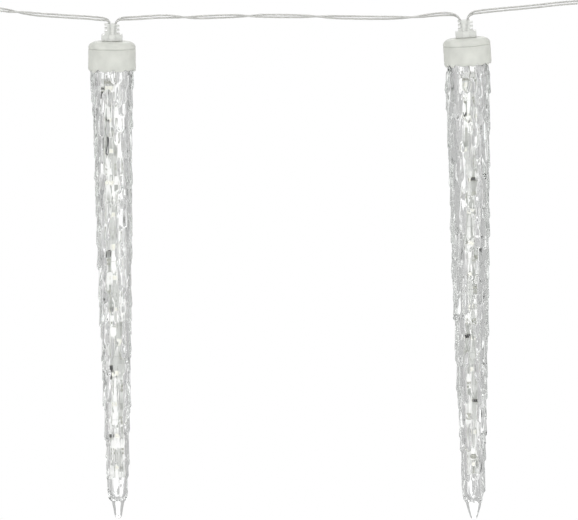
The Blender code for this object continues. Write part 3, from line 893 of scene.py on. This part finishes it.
def strip_point(side, z):
    """(x, y) of the strip's middle at a height in the icicle's frame."""
    route = STRIP_ROUTES[side]
    for (z0, x0, y0), (z1, x1, y1) in zip(route, route[1:]):
        if z >= z1:
            break
    share = float(smooth_share(z, z0, z1))
    return x0 + (x1 - x0) * share, y0 + (y1 - y0) * share


def on_strip(side, z):
    """The frame of a point on the strip's front, with -Y out of it."""
    x, y = strip_point(side, z)
    rise = strip_point(side, z + SLOPE_REACH)[1] - strip_point(side, z - SLOPE_REACH)[1]
    tilt = Matrix.Rotation(-math.atan(rise / (2 * SLOPE_REACH)), 4, "X")
    return Matrix.Translation((x, y, z)) @ tilt


def make_strip(side):
    """The bare strip, with its front edges broken."""
    half, inner = STRIP_WIDTH / 2, STRIP_WIDTH / 2 - STRIP_EDGE
    section = [
        (-half, STRIP_EDGE), (-inner, 0), (inner, 0), (half, STRIP_EDGE),
        (half, STRIP_THICKNESS), (-half, STRIP_THICKNESS),
    ]
    bm = bmesh.new()
    rows = []
    for z in np.linspace(STRIP_TOP, STRIP_BOTTOM, STRIP_ROWS):
        x, y = strip_point(side, z)
        rows.append([bm.verts.new((x + dx, y + dy, z)) for dx, dy in section])
    for above, below in zip(rows, rows[1:]):
        for i in range(len(above)):
            j = (i + 1) % len(above)
            bm.faces.new((above[i], below[i], below[j], above[j]))
    bm.faces.new(rows[0])
    bm.faces.new(list(reversed(rows[-1])))
    mesh = finish_mesh(f"{side}_strip", bm)
    matrix = frame_matrix(side, "tube")
    add_piece(mesh, ["strip"], matrix, [f"{side}_led_strip"])


def make_leds(side):
    """LED chips: a white body with a sunk window of phosphor and a leg on each side."""
    bm = bmesh.new()
    width, thick, tall = LED_SIZE
    body = Matrix.Translation((0, -GAP - thick / 2, 0))
    body @= Matrix.Diagonal((width * LED_BODY_SHARE, thick, tall, 1))
    for number in range(LED_COUNT):
        place = on_strip(side, LED_TOP - LED_PITCH * number)
        made = bmesh.ops.create_cube(bm, size=1)["verts"]
        bmesh.ops.transform(bm, matrix=body, verts=made)
        faces = {face for vert in made for face in vert.link_faces}
        front = min(faces, key=lambda face: face.calc_center_median().y)
        bmesh.ops.inset_individual(bm, faces=[front], thickness=LED_WINDOW_MARGIN)
        bmesh.ops.inset_individual(
            bm, faces=[front], thickness=LED_WINDOW_RIM, depth=-LED_WINDOW_RIM)
        front.material_index = 1
        verts = set(made) | set(front.verts)
        for face in {face for vert in made for face in vert.link_faces}:
            verts |= set(face.verts)
        bmesh.ops.transform(bm, matrix=place, verts=list(verts))
        for direction in (-1, 1):
            leg = (direction * (width / 2 - 0.0002), -GAP - 0.0001, 0)
            add_box(bm, LED_LEG, leg, LED_LEG_EDGE, 2, place)
    mesh = finish_mesh(f"{side}_leds", bm)
    looks = ["led_body", "phosphor", "solder"]
    nodes = [f"{side}_led_{number + 1:02d}" for number in range(LED_COUNT)]
    add_piece(mesh, looks, frame_matrix(side, "tube"), nodes)


def add_shade_block(bm, place, x, width, height):
    """A small black block of painted shade, with a soldered cap at its top and bottom."""
    add_box(bm, (width, 0.0008, height - 0.0006), (x, -0.00055, 0), 0.00015, SHADE_BLOCK, place)
    for end in (-1, 1):
        centre = (x, -0.0005, end * (height / 2 - 0.0002))
        add_box(bm, (width * 0.96, 0.0007, 0.0005), centre, 0.0001, SOLDER, place)


def make_circuit(side):
    """What else is on the strip: traces darkened with painted shade, cut lines, pads, black blocks
    of painted shade, and solder.
    """
    bm = bmesh.new()
    chance = random.Random(ICICLES[side]["seed"])
    for x, width in TRACES_WITH_PAINTED_SHADE:
        z = STRIP_TOP - TRACE_MARGIN
        while z > STRIP_BOTTOM + TRACE_MARGIN:
            if chance.random() < TRACE_SHARE:
                size = (width, 0.00006, TRACE_LENGTH)
                add_box(bm, size, (x, -0.00002, 0), 0, TRACE_AND_SHADE, on_strip(side, z))
                z -= TRACE_LENGTH
            else:
                z -= chance.uniform(*TRACE_BREAK)
    for number in range(LED_COUNT - 1):
        cut = on_strip(side, LED_TOP - LED_PITCH * (number + 0.5))
        add_box(bm, CUT_LINE, (0, -0.00003, 0), 0, TRACE_AND_SHADE, cut)
        for x in (-PAD_X, PAD_X):
            for z in (-PAD_Z, PAD_Z):
                add_box(bm, PAD, (x, -0.00005, z), 0.00004, SOLDER, cut)
    # Black blocks of painted shade where the strip's edge shows dark.
    for number, x, z, width, height in SHADE_BLOCKS[side]:
        place = on_strip(side, LED_TOP - LED_PITCH * number + z)
        add_shade_block(bm, place, x, width, height)
    for letter in "ab":
        x, y, z = INNER_LEADS[side, letter][-1]
        add_ball(bm, (x, y - 0.0002, z), WIRE_SOLDER, SOLDER)
    top = on_strip(side, TOP_SOLDER_Z)
    add_box(bm, TOP_SOLDER, (-0.0002, -0.0003, 0), 0.0001, SOLDER, top)
    if side == "right":  # its last stretch ends in a blob of solder with two tails
        end = on_strip(side, END_SOLDER_Z)
        add_ball(bm, end.translation, END_SOLDER, SOLDER)
        for x in END_LINES_X:
            add_box(bm, END_LINE, (x, -0.0002, END_LINES_Z), 0.0001, SOLDER, end)
    mesh = finish_mesh(f"{side}_circuit", bm)
    matrix = frame_matrix(side, "tube")
    add_piece(mesh, ["trace_and_shade", "solder", "shade_block"], matrix)


def make_inner_leads(side):
    """The two thin wires from the cap to the strip."""
    matrix = frame_matrix(side, "tube")
    for letter in "ab":
        points = smooth_route(INNER_LEADS[side, letter], INNER_LEAD_STEP)
        curve = wire_curve(f"{side}_inner_{letter}", points, BARE_WIRE_RADIUS)
        add_piece(curve, ["solder"], matrix, [f"{side}_inner_lead_{letter}"])


# ---- studio --------------------------------------------------------------------------------

FLOOR_Z = -1.3
FLOOR_RADIUS = 0.62
SKY_FRONT = 1.5
SKY_BACK = 1.15
SKY_GREY = 0.50  # of the grey parts behind; those in front are lighter by SKY_FRONT - SKY_BACK
# The sky's directions, as ranges of its unit vector: -Y is the front and +Z is straight up
SKY_TURN = (-0.3, 0.3)  # y, from the front's white to the back's
GREY_BESIDE = (-0.970, -0.895)  # cosine of twice the azimuth, which is -1 straight front or back
GREY_STEEP = (0.28, 0.42)  # how steeply up or down
GREY_DEEP = (0.0, 0.3)  # how far to the front or back, as the string's two ends stay white
GREY_UNDER = (-0.60, -0.40)  # z, from the grey below
WHITE_TOP = (0.80, 0.95)  # z, up to the white above
FIRST_DIFFUSE = 0.5  # between no diffuse bounce and one


def math_node(tree, operation, *values):
    node = tree.nodes.new("ShaderNodeMath")
    node.operation = operation
    for socket, value in zip(node.inputs, values):
        if isinstance(value, (int, float)):
            socket.default_value = value
        else:
            tree.links.new(value, socket)
    return node.outputs["Value"]


def make_world():
    """A white studio, grey beside and above the middles of its front and back, and underneath.

    Clear plastic bends those greys into view. Light that a dull surface scatters finds the sky
    white all round, and the camera sees plain white behind the string.
    """
    world = bpy.data.worlds.new("studio")
    bpy.context.scene.world = world
    world.use_nodes = True
    tree = world.node_tree

    def calc(operation, *values):
        return math_node(tree, operation, *values)

    def fade(value, known, wanted=(0, 1)):
        return map_range(tree, value, known, wanted, "SMOOTHSTEP")

    direction = tree.nodes.new("ShaderNodeTexCoord").outputs["Generated"]
    split = tree.nodes.new("ShaderNodeSeparateXYZ")
    tree.links.new(direction, split.inputs["Vector"])
    path = tree.nodes.new("ShaderNodeLightPath")
    x, y, z = split.outputs
    wave = calc("COSINE", calc("MULTIPLY", calc("ARCTAN2", y, x), 2.0))
    off_middle = calc("MAXIMUM", fade(wave, GREY_BESIDE), fade(calc("ABSOLUTE", z), GREY_STEEP))
    flanks = calc("MULTIPLY", off_middle, fade(calc("ABSOLUTE", y), GREY_DEEP))
    grey = calc("MAXIMUM", flanks, fade(z, GREY_UNDER, (1, 0)))
    grey = calc("MULTIPLY", grey, fade(z, WHITE_TOP, (1, 0)))
    grey = calc("MULTIPLY", grey, calc("LESS_THAN", path.outputs["Diffuse Depth"], FIRST_DIFFUSE))
    white = fade(y, SKY_TURN, (SKY_FRONT, SKY_BACK))
    around = tree.nodes["Background"]
    around.inputs["Color"].default_value = (1, 1, 1, 1)
    strength = calc("MULTIPLY_ADD", grey, SKY_GREY - SKY_BACK, white)
    tree.links.new(strength, around.inputs["Strength"])
    seen = tree.nodes.new("ShaderNodeBackground")
    seen.inputs["Color"].default_value = (1, 1, 1, 1)
    mix = tree.nodes.new("ShaderNodeMixShader")
    tree.links.new(path.outputs["Is Camera Ray"], mix.inputs["Fac"])
    tree.links.new(around.outputs["Background"], mix.inputs[1])
    tree.links.new(seen.outputs["Background"], mix.inputs[2])
    tree.links.new(mix.outputs["Shader"], tree.nodes["World Output"].inputs["Surface"])


def make_lights():
    for name, place, size, watts in (
        ("key", (-1.4, -1.8, 1.6), 1.2, 22),
        ("fill", (1.9, -1.2, 0.6), 1.4, 10),
        ("rim", (0.2, 2.2, 1.4), 1.6, 14),
    ):
        data = bpy.data.lights.new(name, "AREA")
        data.size = size
        data.energy = watts
        light = bpy.data.objects.new(name, data)
        bpy.context.scene.collection.objects.link(light)
        light.location = place
        light.rotation_euler = (Vector(place) - VIEW_TARGET).to_track_quat("Z", "Y").to_euler()


def make_floor():
    """A plain pale floor, far enough down that its light doesn't wash out the clear tips."""
    bm = bmesh.new()
    bmesh.ops.create_circle(bm, cap_ends=True, segments=128, radius=FLOOR_RADIUS)
    floor = bpy.data.objects.new("floor", finish_mesh("floor", bm))
    floor.data.materials.append(LOOKS["floor"])
    bpy.context.scene.collection.objects.link(floor)
    floor.location = (VIEW_TARGET.x, 0, FLOOR_Z)


# ---- everything ----------------------------------------------------------------------------

bpy.context.scene.view_settings.view_transform = "Standard"
make_camera()
LOOKS = make_looks()
make_lead()
for icicle_side in ICICLES:
    make_strain_relief(icicle_side)
    make_lid(icicle_side)
    make_collar(icicle_side)
    make_tube(icicle_side)
    make_strip(icicle_side)
    make_leds(icicle_side)
    make_circuit(icicle_side)
    make_inner_leads(icicle_side)
make_world()
make_lights()
make_floor()
